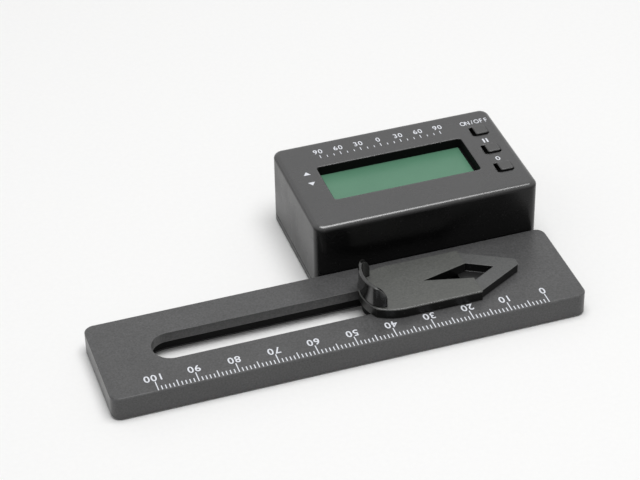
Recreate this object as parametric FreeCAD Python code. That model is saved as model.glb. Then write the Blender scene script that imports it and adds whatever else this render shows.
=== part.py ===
import FreeCAD, Part
import math
import os

# Digital pitch gauge: a box with a display and three keys, screwed to a slotted ruler arm
# that carries a pointer slide with a curved lip.
# Millimetres. Origin: middle of the footprint, on the table. X runs along the arm, Y from
# the arm's graduated edge to the back of the box, Z up.

V = FreeCAD.Vector

# Clearances between mating pieces
FIT_GAP = 0.1
RUN_GAP = 0.1
STOP_GAP = 0.05

# How far a cutting solid runs past the face it opens, and a joined one starts inside
PAST = 1.0
JOIN = 0.2

# Arm
ARM_LENGTH = 121.8
ARM_WIDTH = 29.5
ARM_HEIGHT = 6.5
CORNER_RADIUS = 2.5
ARM_TOP_CHAMFER = 0.3
ARM_FOOT_CHAMFER = 0.5
SLOT_LENGTH = 91.0
SLOT_FROM_LEFT = 13.9
SLOT_WIDTH = 9.8
SLOT_FROM_FRONT = 15.5
UNDERCUT_WIDTH = 13.3
SLOT_LIP_HEIGHT = 2.7
TONGUE_LENGTH = 47.0
TONGUE_REACH = 7.2
TONGUE_THICKNESS = 2.0
TONGUE_LIFT = 0.3
TONGUE_CORNER = 1.2
TONGUE_SCREW_INSET = 3.2

# Slide
GUIDE_LENGTH = 34.2
TRAVEL_TO_ZERO = 2.7
PAD_LENGTH = 28.9
PAD_WIDTH = 18.0
PAD_THICKNESS = 2.65
PAD_NOSE_LENGTH = 9.2
PAD_NOSE_HALF = 6.7
PAD_NOSE_SAG = 1.9
PAD_CHAMFER = 0.25
PAD_OVERHANG = 0.6
PAD_SCREW_ROOF = 0.6
POINTER_LENGTH = 12.6
POINTER_WIDTH = 16.6
POINTER_TIP_WIDTH = 2.5
POINTER_THICKNESS = 2.3
POINTER_TIP_ROUND = 0.6
DIAMOND_LEFT = 12.3
DIAMOND_RIGHT = 6.4
DIAMOND_PAD_WIDTH = 6.2
DIAMOND_POINTER_WIDTH = 7.4
CORE_LENGTH = 11.5
CORE_FROM_SEAM = 2.1
CORE_WALL = 1.3
LIP_HEIGHT = 5.8
LIP_THICKNESS = 1.0
LIP_SETBACK = 0.15
LIP_LENGTH = 4.4
LIP_HALF_WIDTH = 7.1
LIP_BACK_RADIUS = 12.7
LIP_BEND_HALF = 4.7
LIP_TOP_RADIUS = 3.4
LIP_RIM_CHAMFER = 0.25
FOOT_THICKNESS = 2.4
FOOT_LENGTH = 30.0
FOOT_SIDE_GAP = 0.2
FOOT_CORNER = 2.0
FOOT_CORE_INSET = 2.0
FOOT_CORE_ROOF = 0.8
PAD_SCREWS_FROM_NOSE = (5.5, 11.0)

# Screws
SCREW_DIAMETER = 2.0
SCREW_HEAD_DIAMETER = 3.6
SCREW_HEAD_HEIGHT = 1.1
SCREW_HEAD_SINK = 0.3
CASE_SCREW_LENGTH = 9.0
BOARD_SCREW_LENGTH = 4.0
SLIDE_SCREW_LENGTH = 5.8
SCREW_CROSS_WIDTH = 0.5
SCREW_CROSS_DEPTH = 0.6
SCREW_CROSS_SHARE = 1 / 3
BOSS_DIAMETER = 4.4
BOSS_WALL_GAP = 0.15
FRONT_BOSS_SETBACK = 0.6

# Cells and their compartment
CELL_DIAMETER = 10.5
CELL_LENGTH = 44.5
CELL_NUB_DIAMETER = 3.8
CELL_NUB_HEIGHT = 0.9
CELL_GAP = 0.25
CONTACT_SPACE = 1.6
CONTACT_THICKNESS = 0.3
CONTACT_INSET = 1.0
BRIDGE_WIDTH = 3.4
BRIDGE_FOOT_HALF = 3.2
BRIDGE_NOSE_HALF = 0.9
COMPARTMENT_WALL = 1.0
CEILING = 0.8

# Bottom cover and battery door
FLOOR = 2.0
RIM_HEIGHT = 2.3
DOOR_THICKNESS = 1.5
DOOR_RECESS = 0.2
DOOR_INSET = 1.0
RUNNER_HEIGHT = 0.6
RUNNER_DEPTH = 0.6
DOOR_BACK_GAP = 0.2
GRIP_GROOVES = 5
GRIP_PITCH = 1.6
GRIP_WIDTH = 0.8
GRIP_LENGTH = 14.0
GRIP_DEPTH = 0.4
GRIP_FROM_BACK = 4.0
BASE_CHAMFER = 0.4
RIM_LIP_WALL = 0.8
RIM_LIP_RISE = 1.4
SCREW_PAD_WALL = 1.2
REAR_PAD_LIFT = 0.3

# Upper case
WALL = 1.6
TOP_WALL = 1.8
TOP_ROUND = 1.3
FRONT_BAY = 6.05
REAR_BAY = 4.0
LEFT_BAY = 5.1
RIGHT_BAY = 1.85
CASE_INSET = 1.3
SEAM_GROOVE = 0.25
WINDOW_LENGTH = 39.85
WINDOW_DEPTH = 15.1
WINDOW_FROM_LEFT = 8.5
WINDOW_FROM_FRONT = 10.6
WINDOW_CORNER = 1.0
WINDOW_FRAME = 1.0
DISPLAY_RECESS = 2.7

# Display and board
GLASS_THICKNESS = 1.1
GLASS_MARGIN = 1.5
GLASS_LEDGE = 2.0
STRIP_HEIGHT = 1.1
STRIP_WIDTH = 1.8
STRIP_INSET = 0.2
STRIP_END_INSET = 1.0
GLASS_CHAMFER = 0.15
HOLDER_GRIP = 0.4
HOLDER_STEP = 0.9
HOLDER_WALL = 1.0
HOLDER_TO_SWITCH = 0.9
HOLDER_TO_BOSS = 0.9
BOARD_THICKNESS = 1.2
BOARD_GAP = 0.2
BOARD_EDGE_GAP = 0.4

# Keys
KEY_LENGTH = 3.4
KEY_DEPTH = 3.6
KEY_SHIFT = 0.4
KEY_HOLE_LENGTH = 4.5
KEY_HOLE_DEPTH = 4.1
KEY_CORNER = 0.5
KEY_CHAMFER = 0.2
KEY_PROUD = 0.5
KEY_PITCH = 8.7
KEY_FROM_RIGHT = 5.75
KEY_FROM_FRONT = 9.85
KEY_FLANGE = 0.8
KEY_FLANGE_EDGE = 0.5
KEY_TRAVEL = 0.4
SWITCH_SIZE = 4.5
SWITCH_HEIGHT = 2.0
SWITCH_CHAMFER = 0.3
PLUNGER_SIZE = 2.2
PLUNGER_HEIGHT = 0.5
PLUNGER_SEAT = 0.6
STEM_SIZE = 2.8

# Chips and small parts on the board
CHIP_HEIGHT = 0.7
SENSOR_SIZE = 3.0
SENSOR_FROM_LEFT = 12.0
CONTROLLER_SIZE = 10.0
CAPACITOR_LENGTH = 1.6
CAPACITOR_WIDTH = 0.8
CAPACITOR_PITCH = 1.8
CAPACITORS = 4
CRYSTAL_LENGTH = 6.0
CRYSTAL_DIAMETER = 2.0
CRYSTAL_FROM_LEFT = 27.0
BOARD_SCREW_INSET = 6.0

# The case is as long and deep as the cells need below, or the display and keys above
COMPARTMENT_LENGTH = CELL_LENGTH + 2 * CONTACT_SPACE
COMPARTMENT_DEPTH = 2 * CELL_DIAMETER + 3 * CELL_GAP
HOLDER_MARGIN = GLASS_MARGIN + FIT_GAP + HOLDER_WALL
WINDOW_TO_KEYS = HOLDER_MARGIN + HOLDER_TO_SWITCH + SWITCH_SIZE / 2
HOLDER_FROM_FRONT = WINDOW_FROM_FRONT + WINDOW_DEPTH + GLASS_LEDGE + HOLDER_MARGIN
LOWER_LENGTH = 2 * WALL + LEFT_BAY + RIGHT_BAY + 2 * COMPARTMENT_WALL + COMPARTMENT_LENGTH
UPPER_LENGTH = WINDOW_FROM_LEFT + WINDOW_LENGTH + WINDOW_TO_KEYS + KEY_FROM_RIGHT
LOWER_DEPTH = 2 * WALL + FRONT_BAY + REAR_BAY + 2 * COMPARTMENT_WALL + COMPARTMENT_DEPTH
UPPER_DEPTH = HOLDER_FROM_FRONT + HOLDER_TO_BOSS + (BOSS_DIAMETER + REAR_BAY) / 2 + WALL
CASE_LENGTH = max(LOWER_LENGTH, UPPER_LENGTH)
CASE_DEPTH = max(LOWER_DEPTH, UPPER_DEPTH)

# Plan positions
ARM_FRONT = -(ARM_WIDTH + CASE_DEPTH) / 2
ARM_BACK = ARM_FRONT + ARM_WIDTH
ARM_RIGHT = ARM_LENGTH / 2
CASE_FRONT = ARM_BACK
CASE_BACK = CASE_FRONT + CASE_DEPTH
CASE_RIGHT = ARM_RIGHT - CASE_INSET
CASE_LEFT = CASE_RIGHT - CASE_LENGTH
SLOT_Y = ARM_FRONT + SLOT_FROM_FRONT
ROOM_LEFT = CASE_LEFT + WALL + LEFT_BAY + COMPARTMENT_WALL
ROOM_RIGHT = ROOM_LEFT + COMPARTMENT_LENGTH
ROOM_FRONT = CASE_FRONT + WALL + FRONT_BAY + COMPARTMENT_WALL
ROOM_BACK = ROOM_FRONT + COMPARTMENT_DEPTH
CELL_X = (ROOM_LEFT + ROOM_RIGHT) / 2
CELL_Y = (ROOM_FRONT + CELL_GAP + CELL_DIAMETER / 2, ROOM_BACK - CELL_GAP - CELL_DIAMETER / 2)
KEY_X = CASE_RIGHT - KEY_FROM_RIGHT
WINDOW_X = KEY_X - WINDOW_TO_KEYS - WINDOW_LENGTH / 2
WINDOW_Y = CASE_FRONT + WINDOW_FROM_FRONT + WINDOW_DEPTH / 2
KEY_Y = [CASE_FRONT + KEY_FROM_FRONT + i * KEY_PITCH for i in range(3)]

# Heights, from the table up
DOOR_TOP = DOOR_RECESS + DOOR_THICKNESS
RUNNER_Z = DOOR_RECESS + (DOOR_THICKNESS - RUNNER_HEIGHT) / 2
CELL_Z = DOOR_TOP + CELL_GAP + CELL_DIAMETER / 2
CEILING_Z = CELL_Z + CELL_DIAMETER / 2 + CELL_GAP
BOARD_Z = CEILING_Z + CEILING + BOARD_GAP
BOARD_TOP = BOARD_Z + BOARD_THICKNESS
BACK_GLASS_Z = BOARD_TOP + STRIP_HEIGHT
FRONT_GLASS_Z = BACK_GLASS_Z + GLASS_THICKNESS
DISPLAY_TOP = FRONT_GLASS_Z + GLASS_THICKNESS
CASE_TOP = DISPLAY_TOP + DISPLAY_RECESS
ROOF = CASE_TOP - TOP_WALL
TONGUE_Z = RIM_HEIGHT + TONGUE_LIFT
TONGUE_TOP = TONGUE_Z + TONGUE_THICKNESS
KEY_TOP = CASE_TOP + KEY_PROUD
FLANGE_TOP = ROOF - FIT_GAP
PLATE_Z = ARM_HEIGHT + RUN_GAP
PAD_TOP = PLATE_Z + PAD_THICKNESS
GUIDE_Z = ARM_HEIGHT - SLOT_LIP_HEIGHT
FOOT_TOP = GUIDE_Z - RUN_GAP

# Screw places: two in front go through the arm's tongue, one stands behind on the left
FRONT_SCREW_Y = CASE_FRONT + WALL + BOSS_DIAMETER / 2 + FRONT_BOSS_SETBACK
TONGUE_LEFT = CASE_LEFT + (CASE_LENGTH - TONGUE_LENGTH) / 2
TONGUE_RIGHT = TONGUE_LEFT + TONGUE_LENGTH
FRONT_SCREW_X = (TONGUE_LEFT + TONGUE_SCREW_INSET, TONGUE_RIGHT - TONGUE_SCREW_INSET)
FRONT_SCREWS = [(x, FRONT_SCREW_Y) for x in FRONT_SCREW_X]
BOSS_FROM_WALL = BOSS_DIAMETER / 2 + BOSS_WALL_GAP
REAR_SCREW = (CASE_LEFT + WALL + BOSS_FROM_WALL, CASE_BACK - WALL - BOSS_FROM_WALL)
BOARD_SCREW_Y = CASE_BACK - WALL - REAR_BAY / 2
BOARD_SCREW_X = (ROOM_LEFT + BOARD_SCREW_INSET, ROOM_RIGHT - BOARD_SCREW_INSET)

# The slide at rest stands TRAVEL_TO_ZERO short of the slot's right end
SLOT_LEFT = SLOT_FROM_LEFT - ARM_RIGHT
SLOT_RIGHT = SLOT_LEFT + SLOT_LENGTH
GUIDE_WIDTH = SLOT_WIDTH - 2 * RUN_GAP
GUIDE_RIGHT = SLOT_RIGHT - STOP_GAP - TRAVEL_TO_ZERO
GUIDE_LEFT = GUIDE_RIGHT - GUIDE_LENGTH
PAD_NOSE = GUIDE_LEFT - PAD_OVERHANG
SEAM_X = PAD_NOSE + PAD_LENGTH
TRAVEL_OUT = GUIDE_LEFT - SLOT_LEFT - STOP_GAP


def box(x0, x1, y0, y1, z0, z1):
    return Part.makeBox(x1 - x0, y1 - y0, z1 - z0, V(x0, y0, z0))


def rounded_block(x0, x1, y0, y1, z0, z1, radius):
    """Block whose four upright edges are rounded."""
    block = box(x0, x1, y0, y1, z0, z1)
    upright = [e for e in block.Edges if e.BoundBox.ZLength > (z1 - z0) / 2]
    return block.makeFillet(radius, upright)


def rod(x, y, z0, z1, diameter):
    return Part.makeCylinder(diameter / 2, z1 - z0, V(x, y, z0))


def post(x, y, z0, z1, size):
    """Upright post with a square section."""
    half = size / 2
    return box(x - half, x + half, y - half, y + half, z0, z1)


def level_edges(shape, z):
    """Edges that lie wholly at one height."""
    return [e for e in shape.Edges if abs(e.BoundBox.ZMin - z) < 1e-4 and abs(e.BoundBox.ZMax - z) < 1e-4]


def line(a, b):
    return Part.LineSegment(a, b).toShape()


def arc(a, b, c):
    return Part.Arc(a, b, c).toShape()


def pushed(outline, way):
    """Solid swept straight from a closed flat outline, drawn either way round."""
    solid = Part.Face(outline).extrude(way)
    if solid.Volume < 0:
        solid = solid.reversed()
    return solid


def prism(edges, height):
    """Solid raised from the edges of a level outline."""
    return pushed(Part.Wire(edges), V(0, 0, height))


def polygon_prism(points, z0, z1):
    """Solid raised from straight-sided outline points."""
    corners = [V(x, y, z0) for x, y in points]
    edges = [line(a, b) for a, b in zip(corners, corners[1:] + corners[:1])]
    return prism(edges, z1 - z0)


def stadium(x0, x1, y, width, z0, z1):
    """Block with half-round ends, from x0 to x1."""
    r = width / 2
    a = x0 + r
    b = x1 - r
    edges = [
        line(V(a, y - r, z0), V(b, y - r, z0)),
        arc(V(b, y - r, z0), V(x1, y, z0), V(b, y + r, z0)),
        line(V(b, y + r, z0), V(a, y + r, z0)),
        arc(V(a, y + r, z0), V(x0, y, z0), V(a, y - r, z0)),
    ]
    return prism(edges, z1 - z0)


def tapping_screw(x, y, head_z, length):
    """Blunt screw for plastic that points up: flat head at the bottom with a cross recess."""
    under_head = head_z + SCREW_HEAD_HEIGHT
    head = rod(x, y, head_z, under_head, SCREW_HEAD_DIAMETER)
    shank = rod(x, y, under_head, under_head + length, SCREW_DIAMETER)
    arm_half = SCREW_HEAD_DIAMETER * SCREW_CROSS_SHARE
    thin = SCREW_CROSS_WIDTH / 2
    deep = head_z + SCREW_CROSS_DEPTH
    recess = box(x - arm_half, x + arm_half, y - thin, y + thin, head_z, deep)
    recess = recess.fuse(box(x - thin, x + thin, y - arm_half, y + arm_half, head_z, deep))
    return head.fuse(shank).removeSplitter().cut(recess)


def screw_hole(x, y, z0, z1):
    return rod(x, y, z0, z1, SCREW_DIAMETER + 2 * FIT_GAP)


def head_sink(x, y, z0, depth):
    return rod(x, y, z0, z0 + depth, SCREW_HEAD_DIAMETER + 4 * FIT_GAP)


def arm():
    """Ruler arm with its undercut slot and the tongue that the case clamps."""
    body = rounded_block(-ARM_RIGHT, ARM_RIGHT, ARM_FRONT, ARM_BACK, 0, ARM_HEIGHT, CORNER_RADIUS)
    body = body.makeChamfer(ARM_TOP_CHAMFER, level_edges(body, ARM_HEIGHT))
    body = body.makeChamfer(ARM_FOOT_CHAMFER, level_edges(body, 0))
    tongue = box(TONGUE_LEFT, TONGUE_RIGHT, ARM_BACK - PAST, ARM_BACK + TONGUE_REACH, TONGUE_Z, TONGUE_TOP)
    upright = [e for e in tongue.Edges if e.BoundBox.ZLength > TONGUE_THICKNESS / 2]
    tongue = tongue.makeFillet(TONGUE_CORNER, [e for e in upright if e.BoundBox.YMin > ARM_BACK])
    body = body.fuse(tongue)
    wider = (UNDERCUT_WIDTH - SLOT_WIDTH) / 2
    body = body.cut(stadium(SLOT_LEFT, SLOT_RIGHT, SLOT_Y, SLOT_WIDTH, GUIDE_Z - JOIN, ARM_HEIGHT + PAST))
    body = body.cut(stadium(SLOT_LEFT - wider, SLOT_RIGHT + wider, SLOT_Y, UNDERCUT_WIDTH, -PAST, GUIDE_Z))
    for x, y in FRONT_SCREWS:
        body = body.cut(screw_hole(x, y, TONGUE_Z - PAST, TONGUE_TOP + PAST))
    return body


def pad_outline(z):
    """Pad seen from above: square at the seam, drawn in to a bowed nose on the left."""
    half = PAD_WIDTH / 2
    bend_x = PAD_NOSE + PAD_NOSE_LENGTH
    nose_x = PAD_NOSE + PAD_NOSE_SAG
    run = bend_x - nose_x
    drop = half - PAD_NOSE_HALF
    radius = (run ** 2 + drop ** 2) / (2 * drop)
    turn = math.asin(run / radius) / 2
    mid = (bend_x - radius * math.sin(turn), half - radius * (1 - math.cos(turn)))

    def point(x, side):
        return V(x, SLOT_Y + side, z)

    return [
        line(point(SEAM_X, -half), point(SEAM_X, half)),
        line(point(SEAM_X, half), point(bend_x, half)),
        arc(point(bend_x, half), point(mid[0], mid[1]), point(nose_x, PAD_NOSE_HALF)),
        arc(point(nose_x, PAD_NOSE_HALF), point(PAD_NOSE, 0), point(nose_x, -PAD_NOSE_HALF)),
        arc(point(nose_x, -PAD_NOSE_HALF), point(mid[0], -mid[1]), point(bend_x, -half)),
        line(point(bend_x, -half), point(SEAM_X, -half)),
    ]


def lip_side(inset, z):
    """One face of the curved lip in plan, from its back end round to its front end."""
    back_x = PAD_NOSE + LIP_SETBACK + inset
    end_x = PAD_NOSE + LIP_SETBACK + LIP_LENGTH
    end_y = LIP_HALF_WIDTH - inset
    radius = LIP_BACK_RADIUS - inset
    spread = math.asin(LIP_BEND_HALF / LIP_BACK_RADIUS)
    bend_y = radius * math.sin(spread)
    bend_x = back_x + radius * (1 - math.cos(spread))
    chord = math.atan2(end_y - bend_y, end_x - bend_x)
    turn = (math.pi / 2 - spread) - chord
    length = math.hypot(end_x - bend_x, end_y - bend_y)
    sag = length / 2 * math.tan(turn / 2)
    mid_x = (bend_x + end_x) / 2 - sag * math.sin(chord)
    mid_y = (bend_y + end_y) / 2 + sag * math.cos(chord)

    def point(x, side):
        return V(x, SLOT_Y + side, z)

    edges = [
        arc(point(end_x, end_y), point(mid_x, mid_y), point(bend_x, bend_y)),
        arc(point(bend_x, bend_y), point(back_x, 0), point(bend_x, -bend_y)),
        arc(point(bend_x, -bend_y), point(mid_x, -mid_y), point(end_x, -end_y)),
    ]
    return edges, point(end_x, end_y), point(end_x, -end_y)


def lip():
    """Upright curved wall along the nose, with rounded upper corners and a soft rim."""
    foot_z = PAD_TOP - PAD_THICKNESS / 2
    outer, outer_back, outer_front = lip_side(0, foot_z)
    inner, inner_back, inner_front = lip_side(LIP_THICKNESS, foot_z)
    height = PAD_TOP + LIP_HEIGHT - foot_z
    ends = [line(outer_front, inner_front), line(inner_back, outer_back)]
    wall = prism(outer + ends[:1] + inner[::-1] + ends[1:], height)
    end_x = PAD_NOSE + LIP_SETBACK + LIP_LENGTH
    top_z = PAD_TOP + LIP_HEIGHT
    rim = [e for e in level_edges(wall, top_z) if e.Length > 2 * LIP_THICKNESS]
    wall = wall.makeChamfer(LIP_RIM_CHAMFER, rim)
    corner = box(end_x - LIP_TOP_RADIUS, end_x + PAST, SLOT_Y - PAD_WIDTH, SLOT_Y + PAD_WIDTH,
                 top_z - LIP_TOP_RADIUS, top_z + PAST)
    round_bar = Part.makeCylinder(LIP_TOP_RADIUS, 2 * PAD_WIDTH,
                                  V(end_x - LIP_TOP_RADIUS, SLOT_Y - PAD_WIDTH, top_z - LIP_TOP_RADIUS),
                                  V(0, 1, 0))
    return wall.cut(corner.cut(round_bar))


def diamond_half(x_tip, width, z0, z1):
    """Half of the diamond hole, from the seam to one of its points."""
    half = width / 2
    points = [(SEAM_X, SLOT_Y - half), (SEAM_X, SLOT_Y + half), (x_tip, SLOT_Y)]
    return polygon_prism(points, z0, z1)


def slider_pad():
    """Thumb pad with the curved lip and the left half of the diamond hole."""
    plate = prism(pad_outline(PLATE_Z), PAD_THICKNESS)
    border = [e for e in level_edges(plate, PAD_TOP) if e.BoundBox.XLength > JOIN]
    plate = plate.makeChamfer(PAD_CHAMFER, border)
    plate = plate.fuse(lip())
    plate = plate.cut(diamond_half(SEAM_X - DIAMOND_LEFT, DIAMOND_PAD_WIDTH, PLATE_Z - PAST, PAD_TOP + PAST))
    for x, y in pad_screws():
        plate = plate.cut(screw_hole(x, y, PLATE_Z - PAST, PAD_TOP - PAD_SCREW_ROOF))
    return plate


def pad_screws():
    """Two screws in line along the slot, between the nose and the hollow in the guide."""
    return [(PAD_NOSE + d, SLOT_Y) for d in PAD_SCREWS_FROM_NOSE]


def pointer_plate():
    """Arrowhead with a blunt tip, level with the seam's foot, pierced to the guide below."""
    half = POINTER_WIDTH / 2
    tip = POINTER_TIP_WIDTH / 2
    tip_x = SEAM_X + POINTER_LENGTH
    outline = [(SEAM_X + STOP_GAP, SLOT_Y - half), (tip_x, SLOT_Y - tip), (tip_x, SLOT_Y + tip),
               (SEAM_X + STOP_GAP, SLOT_Y + half)]
    plate = polygon_prism(outline, PLATE_Z, PLATE_Z + POINTER_THICKNESS)
    tall = [e for e in plate.Edges if e.BoundBox.ZLength > POINTER_THICKNESS / 2]
    plate = plate.makeFillet(POINTER_TIP_ROUND, [e for e in tall if e.BoundBox.XMin > tip_x - PAST])
    point_x = SEAM_X + DIAMOND_RIGHT
    return plate.cut(diamond_half(point_x, DIAMOND_POINTER_WIDTH, PLATE_Z - PAST, PAD_TOP + PAST))


def slider_carriage():
    """Guide block that runs in the slot, with the arrowhead pointer on its right end."""
    half = GUIDE_WIDTH / 2
    guide = stadium(GUIDE_LEFT, GUIDE_RIGHT, SLOT_Y, GUIDE_WIDTH, GUIDE_Z, PLATE_Z)
    core_right = SEAM_X - CORE_FROM_SEAM
    guide = guide.cut(box(core_right - CORE_LENGTH, core_right, SLOT_Y - half + CORE_WALL,
                          SLOT_Y + half - CORE_WALL, GUIDE_Z - PAST, PLATE_Z + PAST))
    for x, y in pad_screws():
        guide = guide.cut(screw_hole(x, y, GUIDE_Z - PAST, PLATE_Z + PAST))
    return guide.fuse(pointer_plate()).removeSplitter()


def slider_foot():
    """Retaining plate in the undercut, held up against the guide by the two slide screws."""
    x0 = (GUIDE_LEFT + GUIDE_RIGHT - FOOT_LENGTH) / 2
    x1 = x0 + FOOT_LENGTH
    half = UNDERCUT_WIDTH / 2 - FOOT_SIDE_GAP
    inner = half - FOOT_CORNER
    outline = [(x0, -inner), (x0 + FOOT_CORNER, -half), (x1 - FOOT_CORNER, -half), (x1, -inner),
               (x1, inner), (x1 - FOOT_CORNER, half), (x0 + FOOT_CORNER, half), (x0, inner)]
    outline = [(x, SLOT_Y + side) for x, side in outline]
    plate = polygon_prism(outline, FOOT_TOP - FOOT_THICKNESS, FOOT_TOP)
    step = box(x0 + FOOT_CORNER, x1 - FOOT_CORNER, SLOT_Y - GUIDE_WIDTH / 2,
               SLOT_Y + GUIDE_WIDTH / 2, FOOT_TOP - JOIN, GUIDE_Z)
    plate = plate.fuse(step).removeSplitter()
    core_right = SEAM_X - CORE_FROM_SEAM
    side = GUIDE_WIDTH / 2 - FOOT_CORE_INSET
    plate = plate.cut(box(core_right - CORE_LENGTH + FOOT_CORE_INSET, core_right - FOOT_CORE_INSET,
                          SLOT_Y - side, SLOT_Y + side, FOOT_TOP - FOOT_THICKNESS - PAST,
                          FOOT_TOP - FOOT_CORE_ROOF))
    for x, y in pad_screws():
        plate = plate.cut(screw_hole(x, y, 0, GUIDE_Z + PAST))
        plate = plate.cut(head_sink(x, y, FOOT_TOP - FOOT_THICKNESS, SCREW_HEAD_HEIGHT + FIT_GAP))
    return plate


def slider_screws():
    head_z = FOOT_TOP - FOOT_THICKNESS + FIT_GAP
    return Part.makeCompound([tapping_screw(x, y, head_z, SLIDE_SCREW_LENGTH) for x, y in pad_screws()])


def corner_post_limits(x0, y1):
    """Plan of the screw post in the rear left corner, out to the given left and back limits."""
    half = BOSS_DIAMETER / 2
    return x0, REAR_SCREW[0] + half, REAR_SCREW[1] - half, y1


def bosses_and_bores():
    """Round bosses in front, a corner post and two wall pillars, each with a blind screw bore."""
    half = BOSS_DIAMETER / 2
    wall_y = CASE_BACK - WALL + JOIN
    post_z = RIM_HEIGHT + REAR_PAD_LIFT + FIT_GAP
    bosses = [box(*corner_post_limits(CASE_LEFT + WALL - JOIN, wall_y), post_z, ROOF + JOIN)]
    bores = [screw_hole(*REAR_SCREW, post_z - PAST, post_z + CASE_SCREW_LENGTH)]
    for x, y in FRONT_SCREWS:
        foot_z = TONGUE_TOP + FIT_GAP
        bosses.append(rod(x, y, foot_z, ROOF + JOIN, BOSS_DIAMETER))
        bores.append(screw_hole(x, y, foot_z - PAST, foot_z + CASE_SCREW_LENGTH))
    for x in BOARD_SCREW_X:
        foot_z = BOARD_TOP + STOP_GAP
        reach = BOARD_SCREW_LENGTH - BOARD_THICKNESS + FIT_GAP
        bosses.append(box(x - half, x + half, BOARD_SCREW_Y - half, wall_y, foot_z, ROOF + JOIN))
        bores.append(screw_hole(x, BOARD_SCREW_Y, foot_z - PAST, foot_z + reach))
    return bosses, bores


def window_limits(margin):
    """Outline of the display window plus a margin all round."""
    half_x = WINDOW_LENGTH / 2 + margin
    half_y = WINDOW_DEPTH / 2 + margin
    return WINDOW_X - half_x, WINDOW_X + half_x, WINDOW_Y - half_y, WINDOW_Y + half_y


def window_frame():
    """Block under the roof that the window is cut through, down to the display glass."""
    return box(*window_limits(WINDOW_FRAME), DISPLAY_TOP + FIT_GAP, ROOF + JOIN)


def key_hole(y, margin):
    """Outline of the hole round a key plus a margin all round."""
    half_x = KEY_HOLE_LENGTH / 2 + margin
    half_y = KEY_HOLE_DEPTH / 2 + margin
    return KEY_X - half_x, KEY_X + half_x, y - half_y, y + half_y


def case_top():
    """Upper shell: walls, roof, framed window, key holes, screw bosses and a notch for the tongue."""
    shell = rounded_block(CASE_LEFT, CASE_RIGHT, CASE_FRONT, CASE_BACK, RIM_HEIGHT, CASE_TOP, CORNER_RADIUS)
    shell = shell.makeFillet(TOP_ROUND, level_edges(shell, CASE_TOP))
    shell = shell.makeChamfer(SEAM_GROOVE, level_edges(shell, RIM_HEIGHT))
    shell = shell.cut(rounded_block(CASE_LEFT + WALL, CASE_RIGHT - WALL, CASE_FRONT + WALL, CASE_BACK - WALL,
                                    RIM_HEIGHT - PAST, ROOF, CORNER_RADIUS - WALL))
    shell = shell.fuse(window_frame())
    bosses, bores = bosses_and_bores()
    shell = shell.fuse(bosses).removeSplitter().cut(bores)
    shell = shell.cut(rounded_block(*window_limits(0), DISPLAY_TOP - PAST, CASE_TOP + PAST, WINDOW_CORNER))
    for y in KEY_Y:
        shell = shell.cut(rounded_block(*key_hole(y, 0), ROOF - PAST, CASE_TOP + PAST, KEY_CORNER))
    notch = box(TONGUE_LEFT - FIT_GAP, TONGUE_RIGHT + FIT_GAP, CASE_FRONT - PAST, CASE_FRONT + WALL + JOIN,
                RIM_HEIGHT - PAST, TONGUE_TOP + FIT_GAP)
    return shell.cut(notch)


def door_outline_x():
    return ROOM_LEFT + DOOR_INSET, ROOM_RIGHT - DOOR_INSET


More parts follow.
